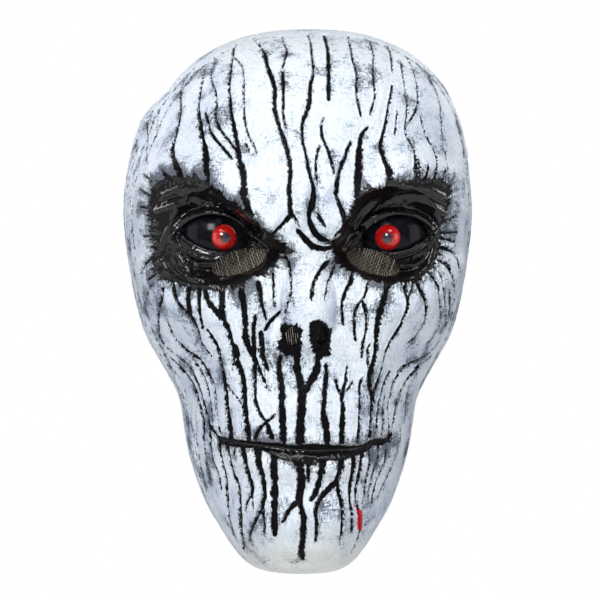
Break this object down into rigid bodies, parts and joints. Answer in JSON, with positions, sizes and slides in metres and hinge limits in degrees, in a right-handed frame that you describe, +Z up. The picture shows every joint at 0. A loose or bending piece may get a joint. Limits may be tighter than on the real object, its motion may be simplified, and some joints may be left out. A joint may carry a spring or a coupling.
{
  "type": "latex halloween mask",
  "caption": "Full-face latex skull mask with domed red eyes, woven sight and nostril screens, and an adjustable elastic strap that swings on hidden rivets.",
  "frame": {"origin": "on the wearer's line of sight, in the middle plane, level with the trimmed rim", "axes": "+Z up as worn; the face looks along -Y; node names say left and right as seen from in front, so right is +X"},
  "size_m": [0.173, 0.1691, 0.271],
  "materials": {
    "latex_skin": "glossy painted latex, bluish white with black crackle",
    "screen": "open woven gauze",
    "eye_black": "high gloss black",
    "iris_red": "high gloss red",
    "pupil_dark": "high gloss grey-violet and black",
    "pad": "natural latex over cloth",
    "rivet_metal": "nickel plated",
    "elastic": "ribbed black elastic",
    "closure": "matt black hook and loop",
    "slider": "black moulded"
  },
  "bodies": {
    "mask": {"mask_shell": "latex_skin", "nose_mesh": "screen", "left_eyeball": "eye_black", "left_iris": "iris_red", "left_pupil": "pupil_dark", "left_sight_mesh": "screen", "left_strap_pad": "pad", "left_rivet": "rivet_metal", "left_rivet_cap": "rivet_metal", "right_eyeball": "eye_black", "right_iris": "iris_red", "right_pupil": "pupil_dark", "right_sight_mesh": "screen", "right_strap_pad": "pad", "right_rivet": "rivet_metal", "right_rivet_cap": "rivet_metal"},
    "strap": {"left_strap": "elastic", "right_strap": "elastic", "hook_tape": "closure", "loop_tape": "closure"},
    "slider": {"strap_slider": "slider"}
  },
  "joints": [
    {"name": "strap_swing", "type": "hinge", "parent": "mask", "child": "strap", "pos_m": [0, -0.011, 0.027], "axis": [1, 0, 0], "range_deg": [-45, 45]},
    {"name": "slider_slide", "type": "slide", "parent": "strap", "child": "slider", "axis": [1, 0, 0], "range_m": [-0.018, 0.018]}
  ]
}
